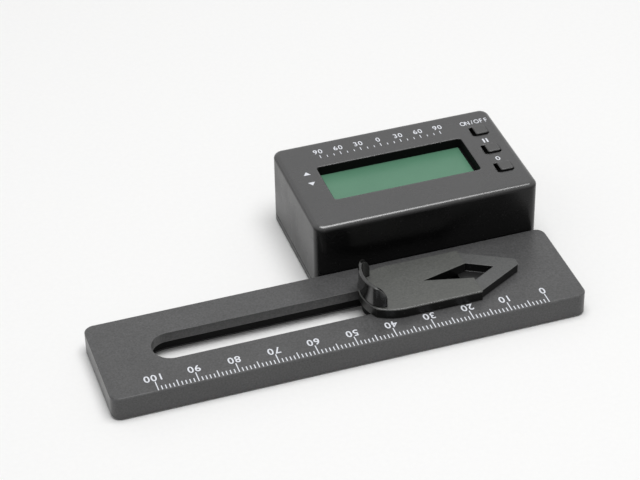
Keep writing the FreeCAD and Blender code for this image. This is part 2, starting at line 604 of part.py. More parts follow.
def case_base():
    """Bottom cover with the cell compartment, door runners, locating lip and screw pads."""
    plate = rounded_block(CASE_LEFT, CASE_RIGHT, CASE_FRONT, CASE_BACK, 0, RIM_HEIGHT, CORNER_RADIUS)
    plate = plate.makeChamfer(BASE_CHAMFER, level_edges(plate, 0))
    inner = CORNER_RADIUS - WALL
    plate = plate.cut(rounded_block(CASE_LEFT + WALL, CASE_RIGHT - WALL, CASE_FRONT + WALL, CASE_BACK - WALL,
                                    FLOOR, RIM_HEIGHT + PAST, inner))
    g = WALL + FIT_GAP
    rise = RIM_HEIGHT + RIM_LIP_RISE
    ring = rounded_block(CASE_LEFT + g, CASE_RIGHT - g, CASE_FRONT + g, CASE_BACK - g,
                         FLOOR - JOIN, rise, inner)
    h = g + RIM_LIP_WALL
    ring = ring.cut(box(CASE_LEFT + h, CASE_RIGHT - h, CASE_FRONT + h, CASE_BACK - h,
                        FLOOR - PAST, rise + PAST))
    ring = ring.cut(box(TONGUE_LEFT - FIT_GAP, TONGUE_RIGHT + FIT_GAP, CASE_FRONT, CASE_FRONT + h + JOIN,
                        RIM_HEIGHT, rise + PAST))
    x0, x1, y0, y1 = corner_post_limits(CASE_LEFT, CASE_BACK)
    ring = ring.cut(box(x0, x1 + FIT_GAP, y0 - FIT_GAP, y1, RIM_HEIGHT, rise + PAST))
    w = COMPARTMENT_WALL
    tub = box(ROOM_LEFT - w, ROOM_RIGHT + w, ROOM_FRONT - w, ROOM_BACK + w, FLOOR - JOIN, CEILING_Z + CEILING)
    pad_size = SCREW_HEAD_DIAMETER + 2 * SCREW_PAD_WALL
    pads = [post(x, y, FLOOR - JOIN, TONGUE_Z, pad_size) for x, y in FRONT_SCREWS]
    # the rear pad's square corner stays inside the rounded corner of the walls
    clear = g + inner * (1 - math.sqrt(0.5))
    rear_pad = corner_post_limits(CASE_LEFT + clear, CASE_BACK - clear)
    pads.append(box(*rear_pad, FLOOR - JOIN, RIM_HEIGHT + REAR_PAD_LIFT))
    cover = plate.fuse([ring, tub] + pads).removeSplitter()
    cover = cover.cut(box(ROOM_LEFT, ROOM_RIGHT, ROOM_FRONT, ROOM_BACK, FLOOR, CEILING_Z))
    x0, x1 = door_outline_x()
    door_way = box(x0, x1, ROOM_FRONT, CASE_BACK + PAST, -PAST, DOOR_TOP + FIT_GAP)
    cell_way = box(x0, x1, ROOM_FRONT, ROOM_BACK, -PAST, FLOOR + PAST)
    runners = box(x0 - RUNNER_DEPTH, x1 + RUNNER_DEPTH, ROOM_FRONT, CASE_BACK + PAST,
                  RUNNER_Z - FIT_GAP, RUNNER_Z + RUNNER_HEIGHT + FIT_GAP)
    cover = cover.cut([door_way, cell_way, runners])
    for x, y in FRONT_SCREWS + [REAR_SCREW]:
        cover = cover.cut(screw_hole(x, y, -PAST, RIM_HEIGHT + REAR_PAD_LIFT + PAST))
        cover = cover.cut(head_sink(x, y, -PAST, PAST + SCREW_HEAD_SINK + SCREW_HEAD_HEIGHT))
    return cover


def battery_door():
    """Sliding door with side runners and finger grooves; it draws out to the back."""
    x0, x1 = door_outline_x()
    gap = FIT_GAP
    back = CASE_BACK - DOOR_BACK_GAP
    plate = box(x0 + gap, x1 - gap, ROOM_FRONT + gap, back, DOOR_RECESS, DOOR_TOP)
    rear_foot = [e for e in level_edges(plate, DOOR_RECESS) if e.BoundBox.YMin > back - JOIN]
    plate = plate.makeChamfer(BASE_CHAMFER, rear_foot)
    runner = box(x0 + gap - RUNNER_DEPTH, x1 - gap + RUNNER_DEPTH, ROOM_FRONT + gap, back - 2 * WALL,
                 RUNNER_Z, RUNNER_Z + RUNNER_HEIGHT)
    plate = plate.fuse(runner).removeSplitter()
    grooves = []
    for i in range(GRIP_GROOVES):
        y = back - GRIP_FROM_BACK - i * GRIP_PITCH
        grooves.append(box(CELL_X - GRIP_LENGTH / 2, CELL_X + GRIP_LENGTH / 2, y - GRIP_WIDTH / 2,
                           y + GRIP_WIDTH / 2, DOOR_RECESS - PAST, DOOR_RECESS + GRIP_DEPTH))
    return plate.cut(grooves)


def cell(y, plus_right):
    """Dry cell lying along X, with its nub at the plus end."""
    side = 1 if plus_right else -1
    can_length = CELL_LENGTH - CELL_NUB_HEIGHT
    start = V(CELL_X - side * CELL_LENGTH / 2, y, CELL_Z)
    can = Part.makeCylinder(CELL_DIAMETER / 2, can_length, start, V(side, 0, 0))
    nub = Part.makeCylinder(CELL_NUB_DIAMETER / 2, CELL_NUB_HEIGHT + JOIN,
                            V(start.x + side * (can_length - JOIN), y, CELL_Z), V(side, 0, 0))
    return can.fuse(nub).removeSplitter()


def bridge(wall_x, side, y):
    """Strip pressed out of a contact, bowed towards its cell."""
    thin = CONTACT_THICKNESS
    rise = CONTACT_SPACE - 2 * STOP_GAP
    foot = BRIDGE_FOOT_HALF
    nose = BRIDGE_NOSE_HALF
    profile = [(thin, -foot), (rise, -nose), (rise, nose), (thin, foot),
               (0, foot), (rise - thin, nose), (rise - thin, -nose), (0, -foot)]
    corners = [V(wall_x + side * a, y - BRIDGE_WIDTH / 2, CELL_Z + b) for a, b in profile]
    return pushed(Part.makePolygon(corners + corners[:1]), V(0, BRIDGE_WIDTH, 0))


def contact(x, side, y0, y1):
    """Sheet contact standing against an end wall, with a bridge pressed out towards each cell."""
    wall_x = x + side * STOP_GAP
    face_x = wall_x + side * CONTACT_THICKNESS
    half = CELL_DIAMETER / 2 - CONTACT_INSET
    sheet = box(min(wall_x, face_x), max(wall_x, face_x), y0, y1, CELL_Z - half, CELL_Z + half)
    for y in CELL_Y:
        if y0 < y < y1:
            sheet = sheet.cut(box(x - PAST, x + PAST, y - BRIDGE_WIDTH / 2, y + BRIDGE_WIDTH / 2,
                                  CELL_Z - BRIDGE_FOOT_HALF, CELL_Z + BRIDGE_FOOT_HALF))
            sheet = sheet.fuse(bridge(wall_x, side, y))
    return sheet.removeSplitter()


def contacts():
    """Link across both cells on the left, and one contact for each cell on the right."""
    half = CELL_DIAMETER / 2 - CONTACT_INSET
    link = contact(ROOM_LEFT, 1, CELL_Y[0] - half, CELL_Y[1] + half)
    positive = contact(ROOM_RIGHT, -1, CELL_Y[0] - half, CELL_Y[0] + half)
    negative = contact(ROOM_RIGHT, -1, CELL_Y[1] - half, CELL_Y[1] + half)
    return link, positive, negative


def circuit_board():
    """Board over the compartment, cut round the front bosses and drilled for its screws."""
    x0 = REAR_SCREW[0] + BOSS_DIAMETER / 2 + BOARD_EDGE_GAP
    y0 = FRONT_SCREW_Y + BOSS_DIAMETER / 2 + BOARD_EDGE_GAP
    margin = WALL + BOARD_EDGE_GAP
    board = box(x0, CASE_RIGHT - margin, y0, CASE_BACK - margin, BOARD_Z, BOARD_TOP)
    for x in BOARD_SCREW_X:
        board = board.cut(screw_hole(x, BOARD_SCREW_Y, BOARD_Z - PAST, BOARD_TOP + PAST))
    return board


def board_screws():
    head_z = BOARD_Z - SCREW_HEAD_HEIGHT
    screws = [tapping_screw(x, BOARD_SCREW_Y, head_z, BOARD_SCREW_LENGTH) for x in BOARD_SCREW_X]
    return Part.makeCompound(screws)


def case_screws():
    places = FRONT_SCREWS + [REAR_SCREW]
    return Part.makeCompound([tapping_screw(x, y, SCREW_HEAD_SINK, CASE_SCREW_LENGTH) for x, y in places])


def lcd_front_glass():
    glass = box(*window_limits(GLASS_MARGIN), FRONT_GLASS_Z, DISPLAY_TOP)
    return glass.makeChamfer(GLASS_CHAMFER, level_edges(glass, DISPLAY_TOP))


def lcd_back_glass():
    """Rear glass, deeper than the front one by the ledge that carries its terminals."""
    x0, x1, y0, y1 = window_limits(GLASS_MARGIN)
    return box(x0, x1, y0, y1 + GLASS_LEDGE, BACK_GLASS_Z, FRONT_GLASS_Z)


def lcd_contact_strips():
    """Two elastomer strips that join the glass to the board along its long edges."""
    x0, x1, y0, y1 = window_limits(GLASS_MARGIN)
    x0 += STRIP_END_INSET
    x1 -= STRIP_END_INSET
    front_y = y0 + STRIP_INSET
    back_y = y1 + GLASS_LEDGE - STRIP_INSET
    front = box(x0, x1, front_y, front_y + STRIP_WIDTH, BOARD_TOP, BACK_GLASS_Z)
    back = box(x0, x1, back_y - STRIP_WIDTH, back_y, BOARD_TOP, BACK_GLASS_Z)
    return Part.makeCompound([front, back])


def lcd_holder():
    """Frame on the board that keeps the glass in place, with a step under its ends."""
    x0, x1, y0, y1 = window_limits(HOLDER_MARGIN)
    frame = box(x0, x1, y0, y1 + GLASS_LEDGE, BOARD_TOP, FRONT_GLASS_Z + HOLDER_GRIP)
    x0, x1, y0, y1 = window_limits(GLASS_MARGIN + FIT_GAP)
    frame = frame.cut(box(x0, x1, y0, y1 + GLASS_LEDGE, BACK_GLASS_Z, DISPLAY_TOP))
    x0 += HOLDER_STEP
    x1 -= HOLDER_STEP
    return frame.cut(box(x0, x1, y0, y1 + GLASS_LEDGE, BOARD_TOP - PAST, DISPLAY_TOP))


def key(y):
    """Key cap, set to the right in its hole, with a retaining flange and a stem to the switch."""
    x = KEY_X + KEY_SHIFT
    cap = rounded_block(x - KEY_LENGTH / 2, x + KEY_LENGTH / 2, y - KEY_DEPTH / 2, y + KEY_DEPTH / 2,
                        FLANGE_TOP - KEY_FLANGE / 2, KEY_TOP, KEY_CORNER)
    cap = cap.makeChamfer(KEY_CHAMFER, level_edges(cap, KEY_TOP))
    flange = box(*key_hole(y, KEY_FLANGE_EDGE), FLANGE_TOP - KEY_FLANGE, FLANGE_TOP)
    stem = post(KEY_X, y, plunger_top(), FLANGE_TOP - KEY_FLANGE, STEM_SIZE)
    return cap.fuse([flange, stem]).removeSplitter()


def plunger_top():
    return BOARD_TOP + SWITCH_HEIGHT + PLUNGER_HEIGHT


def plunger(y):
    """Pin of a key switch, which goes down with its key."""
    return post(KEY_X, y, plunger_top() - PLUNGER_HEIGHT - PLUNGER_SEAT, plunger_top(), PLUNGER_SIZE)


def key_switches():
    """Three switch bodies with a well for each plunger."""
    top = BOARD_TOP + SWITCH_HEIGHT
    well_z = top - PLUNGER_SEAT - KEY_TRAVEL - FIT_GAP
    bodies = []
    for y in KEY_Y:
        body = post(KEY_X, y, BOARD_TOP, top, SWITCH_SIZE)
        body = body.makeChamfer(SWITCH_CHAMFER, level_edges(body, top))
        bodies.append(body.cut(post(KEY_X, y, well_z, top + PAST, PLUNGER_SIZE + 2 * FIT_GAP)))
    return Part.makeCompound(bodies)


def chip(x, y, size_x, size_y, height):
    body = box(x - size_x / 2, x + size_x / 2, y - size_y / 2, y + size_y / 2, BOARD_TOP, BOARD_TOP + height)
    return body.makeChamfer(height / 5, level_edges(body, BOARD_TOP + height))


def crystal(x, y):
    """Clock crystal in its round can, lying on the board."""
    middle = V(x, y, BOARD_TOP + CRYSTAL_DIAMETER / 2)
    return Part.makeCylinder(CRYSTAL_DIAMETER / 2, CRYSTAL_LENGTH, middle, V(1, 0, 0))


def capacitors(x, y):
    """Row of chip capacitors."""
    places = [x + i * CAPACITOR_PITCH for i in range(CAPACITORS)]
    return Part.makeCompound([chip(p, y, CAPACITOR_WIDTH, CAPACITOR_LENGTH, CHIP_HEIGHT) for p in places])


def rear_strip_y():
    """Middle of the clear strip of board behind the display holder."""
    return (CASE_FRONT + HOLDER_FROM_FRONT + CASE_BACK - WALL - BOARD_EDGE_GAP) / 2


def save(name, shape):
    shape.exportStep(os.path.join("parts", name + ".step"))


def main():
    os.makedirs("parts", exist_ok=True)
    link, positive, negative = contacts()
    chip_y = rear_strip_y()
    glass_left = window_limits(GLASS_MARGIN)[0]
    sensor_x = glass_left + SENSOR_FROM_LEFT
    save("arm", arm())
    save("case_top", case_top())
    save("case_base", case_base())
    save("battery_door", battery_door())
    save("case_screws", case_screws())
    save("cell_front", cell(CELL_Y[0], True))
    save("cell_rear", cell(CELL_Y[1], False))
    save("cell_link", link)
    save("positive_contact", positive)
    save("negative_contact", negative)
    save("circuit_board", circuit_board())
    save("board_screws", board_screws())
    save("lcd_front_glass", lcd_front_glass())
    save("lcd_back_glass", lcd_back_glass())
    save("lcd_contact_strips", lcd_contact_strips())
    save("lcd_holder", lcd_holder())
    save("key_switches", key_switches())
    for name, y in zip(("zero", "hold", "power"), KEY_Y):
        save("key_" + name, key(y))
        save("plunger_" + name, plunger(y))
    save("sensor_chip", chip(sensor_x, chip_y, SENSOR_SIZE, SENSOR_SIZE, CHIP_HEIGHT))
    save("chip_capacitors", capacitors(sensor_x + SENSOR_SIZE, chip_y))
    save("clock_crystal", crystal(glass_left + CRYSTAL_FROM_LEFT, chip_y))
    save("controller_chip", chip(WINDOW_X, WINDOW_Y, CONTROLLER_SIZE, CONTROLLER_SIZE, CHIP_HEIGHT))
    save("slider_carriage", slider_carriage())
    save("slider_pad", slider_pad())
    save("slider_foot", slider_foot())
    save("slider_screws", slider_screws())
    print("case", round(CASE_LENGTH, 3), round(CASE_DEPTH, 3), round(CASE_TOP, 3))
    print("keys to", round(KEY_TOP, 3))
    print("slide travels", round(TRAVEL_OUT, 3), "out and", TRAVEL_TO_ZERO, "in; keys", KEY_TRAVEL)
    print("slide nose", round(PAD_NOSE, 3), "seam", round(SEAM_X, 3), "guide", round(GUIDE_LEFT, 3))


main()
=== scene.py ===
"""Inclinometer: a digital pitch gauge behind a slotted ruler arm that carries a sliding pointer.

Lengths are in millimetres and angles in degrees. MM turns a length into metres.
X runs along the arm, Y from the arm to the back of the case, and Z up from the table.
"""

import math

import bmesh
import bpy
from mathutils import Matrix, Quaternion, Vector


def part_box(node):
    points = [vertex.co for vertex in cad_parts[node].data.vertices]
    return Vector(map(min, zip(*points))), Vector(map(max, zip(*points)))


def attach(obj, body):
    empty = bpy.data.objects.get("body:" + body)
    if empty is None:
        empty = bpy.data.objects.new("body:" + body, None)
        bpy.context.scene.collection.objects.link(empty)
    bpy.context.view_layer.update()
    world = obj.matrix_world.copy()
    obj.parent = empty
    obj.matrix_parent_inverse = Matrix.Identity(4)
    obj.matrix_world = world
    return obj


MM = 0.001

# Print: one layer of ink, and each text's height, width of a zero, pitch and added boldness
INK = 0.012
SCALE_TYPE = (2.35, 1.45, 1.72, 0.015)
ANGLE_TYPE = (1.85, 1.1, 1.35, 0.012)
POWER_TYPE = (1.8, 0.86, 1.3, 0.012)
ZERO_TYPE = (1.75, 1.2, 1.2, 0.01)

# Arm: the scale's zero, its marks from the front edge and its numbers behind them
SCALE_ZERO_X = 50.65
SCALE_LENGTH = 100
TICK_START_Y = -32.9
TICK_WIDTH = 0.27
TICK_ENDS = {1: -31.5, 5: -30.65, 10: -29.6}
NUMBER_STEP = 10
NUMBER_Y = -28.25

# Case: the graduation over the window, the arrowheads beside it and the signs behind the keys
GRADUATION_X = 27.5
GRADUATION_HALF = 16.6
GRADUATION_END = 90
GRADUATION_STEP = 10
GRADUATION_LONG_STEP = 30
GRADUATION_Y = (25.6, 26.9)
GRADUATION_SHORTER = 0.45
GRADUATION_WIDTH = 0.22
GRADUATION_NUMBER_Y = 28.6
ARROW_X = 5.1
ARROW_Y = (20.0, 15.5)
ARROW_HALF = 0.95
ARROW_FOOT = 0.6
ARROW_TIP = 0.8
POWER_SIGN = (54.25, 27.85)
SIGN_RISE = 3.95
PAUSE_HALF_PITCH = 0.45
PAUSE_HALF_WIDTH = 0.22
PAUSE_HALF_HEIGHT = 0.9

# Display: how far its glass runs under the case, the black sheet of painted shade on its recess walls and
# its border's widths
GLASS_MARGIN = 1.5
WINDOW_CORNER = 1.0
CORNER_STEPS = 6
SHADE_SHEET_GAP = 0.02
SHADE_SHEET_INNER = 0.12
SHADE_SHEET_DROP = 0.15
BORDER_UNDER = 0.6
BORDER_LEFT = 0.15
BORDER_RIGHT = 0.7
BORDER_FRONT = 0.1
BORDER_BACK = 0.1

# Painted shade in the slot's undercut: on the arm up to the foot's top, and on the guide up to under the pad
SLOT_SHADE_LOW = (-50.0, -27.0, 0.4)
SLOT_SHADE_HIGH = (47.0, -11.0)
GUIDE_SHADE_TOP = 6.3

# Slide: the heights between which its upper faces are matt, counted from its pad's underside
MATT_HEIGHTS = (1.75, 3.05)

# Cells: where the wrap turns to its second colour, as shares of the front cell's length
WRAP_TURN = (0.68, 0.70)

# Board: one square of its weave
WEAVE = 0.8

# Floor and light: the room gets brighter from one agreement with the bright side to another
FLOOR_HALF = 3000.0
FLOOR_DROP = 0.03
ROOM_BRIGHT_SIDE = Vector((-0.55, 0.25, 0.65)).normalized()
ROOM_TURN = (-0.3, 0.9)
ROOM_LEVEL = (0.16, 0.38)
SOFTBOX_PLACE = (70.0, -50.0, 1000.0)
SOFTBOX_DEPTH = 560.0
SOFTBOX_WIDTH = 700.0
SOFTBOX_WATTS = 8.2

# Camera: the place of the lens, the way it looks and its tilt about that way
CAMERA_PLACE = (-133.72, -425.16, 348.35)
CAMERA_AZIMUTH = 17.696
CAMERA_ELEVATION = 36.785
CAMERA_ROLL = -1.216
CAMERA_NEAR = 10.0
LENS = 124.89
SENSOR = 36.0


def mm(*lengths):
    """Lengths in millimetres as a vector in metres."""
    return Vector([length * MM for length in lengths])


def corners(name):
    """A node's lowest and highest corners in millimetres."""
    return [[round(length / MM, 3) for length in corner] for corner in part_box(name)]


def middle(name):
    """The middle of a node in X and Y, in millimetres."""
    low, high = corners(name)
    return (low[0] + high[0]) / 2, (low[1] + high[1]) / 2


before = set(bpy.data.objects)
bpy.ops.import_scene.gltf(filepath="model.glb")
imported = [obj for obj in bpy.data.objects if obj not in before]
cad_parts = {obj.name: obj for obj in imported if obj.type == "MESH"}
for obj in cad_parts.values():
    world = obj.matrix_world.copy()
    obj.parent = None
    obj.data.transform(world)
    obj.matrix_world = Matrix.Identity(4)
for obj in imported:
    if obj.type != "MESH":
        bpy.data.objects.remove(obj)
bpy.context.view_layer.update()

ARM_TOP = corners("arm")[1][2]
CASE_TOP = corners("case_top")[1][2]
GLASS_LOW, GLASS_HIGH = corners("lcd_front_glass")
GLASS_TOP = GLASS_HIGH[2]
WINDOW_X = (GLASS_LOW[0] + GLASS_MARGIN, GLASS_HIGH[0] - GLASS_MARGIN)
WINDOW_Y = (GLASS_LOW[1] + GLASS_MARGIN, GLASS_HIGH[1] - GLASS_MARGIN)
PAD_BOTTOM = corners("slider_pad")[0][2]
PAD_MATT = [PAD_BOTTOM + height for height in MATT_HEIGHTS]
FOOT_TOP = corners("slider_foot")[1][2]
TRACK_SHADE = (SLOT_SHADE_LOW, (*SLOT_SHADE_HIGH, FOOT_TOP))
GUIDE_SHADE = (SLOT_SHADE_LOW, (*SLOT_SHADE_HIGH, GUIDE_SHADE_TOP))


# Shader nodes

materials = {}


def node(tree, kind, inputs=None, **settings):
    """A shader node with its settings, and its inputs given as numbers or as sockets to link."""
    made = tree.nodes.new(kind)
    for key, value in settings.items():
        setattr(made, key, value)
    for key, value in (inputs or {}).items():
        if isinstance(value, bpy.types.NodeSocket):
            tree.links.new(value, made.inputs[key])
        else:
            made.inputs[key].default_value = value
    return made


def noise(tree, size, detail=2.0, stretch=(1, 1, 1), roughness=0.5):
    """Noise from 0 to 1, its patches about size millimetres across and longer where stretched."""
    place = node(tree, "ShaderNodeTexCoord")
    scale = [1 / (size * MM * s) for s in stretch]
    spread = node(tree, "ShaderNodeMapping", {"Vector": place.outputs["Object"], "Scale": scale})
    made = node(
        tree,
        "ShaderNodeTexNoise",
        {"Vector": spread.outputs["Vector"], "Scale": 1.0, "Detail": detail, "Roughness": roughness},
    )
    return made.outputs["Fac"]


def ranged(tree, value, start, end, low, high):
    """value, moved from the range start..end to the range low..high and held there."""
    made = node(
        tree,
        "ShaderNodeMapRange",
        {"Value": value, "From Min": start, "From Max": end, "To Min": low, "To Max": high},
    )
    return made.outputs["Result"]


def joined(tree, first, second, how="ADD"):
    """Two numbers joined by one sum."""
    return node(tree, "ShaderNodeMath", {0: first, 1: second}, operation=how).outputs["Value"]


def times(tree, first, second):
    """The product of two numbers."""
    return joined(tree, first, second, "MULTIPLY")


def less(tree, first, second):
    """The first number less the second."""
    return joined(tree, first, second, "SUBTRACT")


def mixed(tree, share, first, second):
    """The colour between two others, at share."""
    made = node(tree, "ShaderNodeMix", {"Factor": share}, data_type="RGBA")
    for socket, value in ((made.inputs[6], first), (made.inputs[7], second)):
        if isinstance(value, bpy.types.NodeSocket):
            tree.links.new(value, socket)
        else:
            socket.default_value = (*value, 1.0)
    return made.outputs[2]


def dotted(tree, first, second):
    """How far two directions agree: 1 where they are the same."""
    made = node(tree, "ShaderNodeVectorMath", {0: first, 1: second}, operation="DOT_PRODUCT")
    return made.outputs["Value"]


def edge_mask(tree, width):
    """1 on sharp outer edges and 0 on open faces: how far the rounded normal leaves the true one."""
    soft = node(tree, "ShaderNodeBevel", {"Radius": width * MM}, samples=4)
    true = node(tree, "ShaderNodeNewGeometry")
    return ranged(tree, dotted(tree, soft.outputs["Normal"], true.outputs["Normal"]), 0.995, 0.8, 0.0, 1.0)


def upward(tree, low=0.6, high=0.95):
    """1 on faces that look up and 0 on upright ones, from one height of the normal to another."""
    true = node(tree, "ShaderNodeNewGeometry")
    parts = node(tree, "ShaderNodeSeparateXYZ", {"Vector": true.outputs["Normal"]})
    return ranged(tree, parts.outputs["Z"], low, high, 0.0, 1.0)


def beyond(tree, limit, axis="Z", soft=0.1):
    """1 past that place on the axis and 0 before it, blended over soft millimetres to each side."""
    place = node(tree, "ShaderNodeTexCoord")
    parts = node(tree, "ShaderNodeSeparateXYZ", {"Vector": place.outputs["Object"]})
    return ranged(tree, parts.outputs[axis], (limit - soft) * MM, (limit + soft) * MM, 0.0, 1.0)


def inside(tree, low, high):
    """1 in the box between those two corners and 0 outside it."""
    share = 1.0
    for axis, start, end in zip("XYZ", low, high):
        span = less(tree, beyond(tree, start, axis), beyond(tree, end, axis))
        share = times(tree, share, span)
    return share


def blank(name):
    """The tree and the surface shader of a new material, which materials keeps under that name."""
    material = bpy.data.materials.new(name)
    material.use_nodes = True
    materials[name] = material
    tree = material.node_tree
    return tree, tree.nodes["Principled BSDF"]


def shade(colour, factor, lift=0.0):
    """A colour made darker or lighter by that factor, and then lifted."""
    return [min(part * factor + lift, 1.0) for part in colour]


def surface(tree, shader, base, sheen, height, depth, edge):
    """Links a colour, a roughness and a relief of that depth, with edges rounded to the radius edge."""
    tree.links.new(base, shader.inputs["Base Color"])
    tree.links.new(sheen, shader.inputs["Roughness"])
    rounded = node(tree, "ShaderNodeBevel", {"Radius": edge * MM}, samples=6)
    relief = {"Height": height, "Distance": depth * MM, "Strength": 1.0, "Normal": rounded.outputs["Normal"]}
    bump = node(tree, "ShaderNodeBump", relief)
    tree.links.new(bump.outputs["Normal"], shader.inputs["Normal"])


# Materials

# Near black for painted shade: in the slot's undercut, and partly on upright faces
SHADE_BLACK = (0.002, 0.002, 0.002)
SIDE_DEPTH_AND_SHADE = 0.92
SIDE_GRAIN = 0.2
WAVE_SHEEN = 0.08
HAIR_SHEEN = 0.12
WORN_SHEEN = 0.14
SHADE_SHEEN = 0.6


def moulded(
    name, colour, roughness, grain=0.3, depth=0.004, edge=0.12, wear_and_glint_share=0.5, gloss=0.5, speckle=0.5,
    side_gloss=None, polish=0.0, matt=(-1000, 1000), rub=0.0, painted_shade=None,
):
    """Moulded plastic: spark-eroded grain, slow waves of sheen, hair scratches, dust, lighter rubbed edges
    and painted shade.

    gloss is the specular level. With a side_gloss, faces that are upright or outside the heights in matt
    come off smooth mould walls: they are darkened nearly to black, partly for that finish and partly as
    painted shade, nearly lose the grain, and polish takes roughness off them, most over the upper height.
    Under it, upright faces have side_gloss as their specular level. rub takes that share of the roughness
    off rounded edges. speckle is how far the grain's pits darken, and the wear share how far edges are
    rubbed lighter, as real wear and as painted glint.
    The painted shade box, two corners, is where painted shade darkens the plastic nearly to black and
    roughens it.
    """
    tree, shader = blank(name)
    shader.inputs["Specular IOR Level"].default_value = gloss
    fine = noise(tree, grain, detail=3.0, roughness=0.6)
    waves = noise(tree, 9.0, detail=1.0)
    hairs = ranged(tree, noise(tree, 0.22, detail=1.0, stretch=(28, 1, 1)), 0.68, 0.78, 0.0, 0.25)
    specks = ranged(tree, noise(tree, 0.35, detail=0.0), 0.8, 0.86, 0.0, 0.35)
    patches = ranged(tree, noise(tree, 1.6, detail=3.0), 0.35, 0.65, 0.2, 1.0)
    wear_and_glint = times(tree, ranged(tree, edge_mask(tree, 0.3), 0.0, 1.0, 0.0, wear_and_glint_share), patches)

    base = mixed(tree, waves, shade(colour, 0.86), shade(colour, 1.16))
    base = mixed(tree, ranged(tree, fine, 0.3, 0.7, 0.0, speckle), base, shade(colour, 0.5))
    sheen = ranged(tree, waves, 0.0, 1.0, roughness - WAVE_SHEEN, roughness + WAVE_SHEEN)
    if side_gloss is not None:
        over = beyond(tree, matt[1])
        dull = times(tree, upward(tree), less(tree, beyond(tree, matt[0]), over))
        # Upright faces darkened nearly to black: partly the deeper black of smooth mould walls, partly
        # painted shade
        base = mixed(tree, dull, mixed(tree, SIDE_DEPTH_AND_SHADE, base, SHADE_BLACK), base)
        smooth = joined(tree, less(tree, 1.0, dull), over)
        sheen = less(tree, sheen, times(tree, smooth, polish / 2))
        fine = times(tree, fine, joined(tree, times(tree, dull, 1 - SIDE_GRAIN), SIDE_GRAIN))
        lit = joined(tree, upward(tree, 0.3, 0.7), over, "MAXIMUM")
        shine = ranged(tree, lit, 0.0, 1.0, side_gloss, gloss)
        tree.links.new(shine, shader.inputs["Specular IOR Level"])
    if rub:
        turn = less(tree, upward(tree, 0.5, 0.8), upward(tree, 0.93, 0.99))
        sheen = times(tree, sheen, less(tree, 1.0, times(tree, turn, rub)))

    # Edges made lighter: real rubbing wear, and on the keys painted glints
    base = mixed(tree, wear_and_glint, base, shade(colour, 1.9, 0.015))
    base = mixed(tree, specks, base, shade(colour, 1.6, 0.05))
    sheen = joined(tree, sheen, times(tree, hairs, HAIR_SHEEN))
    sheen = less(tree, sheen, times(tree, wear_and_glint, WORN_SHEEN))
    # Painted shade: inside this box the slot's undercut and the guide under it are darkened nearly to black
    # and roughened
    if painted_shade:
        shade_mask = inside(tree, *painted_shade)
        base = mixed(tree, shade_mask, base, SHADE_BLACK)
        sheen = joined(tree, sheen, times(tree, shade_mask, SHADE_SHEEN))
    surface(tree, shader, base, sheen, less(tree, fine, times(tree, hairs, 0.5)), depth, edge)


def metal(name, colour, roughness):
    """Drawn or plated metal: brushed streaks, small dull patches and bright edges."""
    tree, shader = blank(name)
    streaks = noise(tree, 0.12, detail=3.0, stretch=(1, 14, 1))
    patches = noise(tree, 1.4, detail=4.0)
    base = mixed(tree, ranged(tree, patches, 0.45, 0.7, 0.0, 1.0), colour, shade(colour, 0.72))
    sheen = ranged(tree, patches, 0.3, 0.7, roughness - 0.06, roughness + 0.1)
    shader.inputs["Metallic"].default_value = 1.0
    surface(tree, shader, base, sheen, streaks, 0.003, 0.06)


def display(name):
    """The display: grey-green polariser with a fine reflector grain under a clear, slightly satin sheet."""
    tree, shader = blank(name)
    grain = noise(tree, 0.16, detail=2.0)
    cloud = noise(tree, 14.0, detail=2.0)
    base = mixed(tree, ranged(tree, cloud, 0.3, 0.7, 0.0, 1.0), (0.078, 0.206, 0.128), (0.090, 0.232, 0.144))
    base = mixed(tree, ranged(tree, grain, 0.35, 0.65, 0.0, 0.35), base, (0.066, 0.170, 0.108))
    shader.inputs["Coat Weight"].default_value = 0.12
    shader.inputs["Coat Roughness"].default_value = 0.3
    surface(tree, shader, base, ranged(tree, grain, 0.3, 0.7, 0.42, 0.5), cloud, 0.004, 0.05)


def ink(name):
    """Screen-printed ink: slightly cool white with thin spots and a dry, faintly raised skin."""
    tree, shader = blank(name)
    spots = noise(tree, 0.14, detail=3.0)
    base = mixed(tree, ranged(tree, spots, 0.4, 0.75, 0.0, 1.0), (0.80, 0.82, 0.87), (0.56, 0.58, 0.62))
    surface(tree, shader, base, ranged(tree, spots, 0.3, 0.7, 0.5, 0.62), spots, 0.002, 0.01)


def laminate(name):
    """Board laminate: glass weave under green resist, with darker tracks."""
    tree, shader = blank(name)
    place = node(tree, "ShaderNodeTexCoord")
    checks = {"Vector": place.outputs["Object"], "Scale": 1 / (WEAVE * MM)}
    weave = node(tree, "ShaderNodeTexChecker", checks).outputs["Fac"]
    tracks = ranged(tree, noise(tree, 2.2, detail=0.0, stretch=(6, 1, 1)), 0.5, 0.52, 0.0, 1.0)
    base = mixed(tree, weave, (0.018, 0.105, 0.045), (0.022, 0.125, 0.055))
    base = mixed(tree, times(tree, tracks, 0.6), base, (0.010, 0.070, 0.034))
    sheen = ranged(tree, noise(tree, 3.0), 0.3, 0.7, 0.26, 0.36)
    surface(tree, shader, base, sheen, joined(tree, tracks, times(tree, weave, 0.2)), 0.02, 0.05)


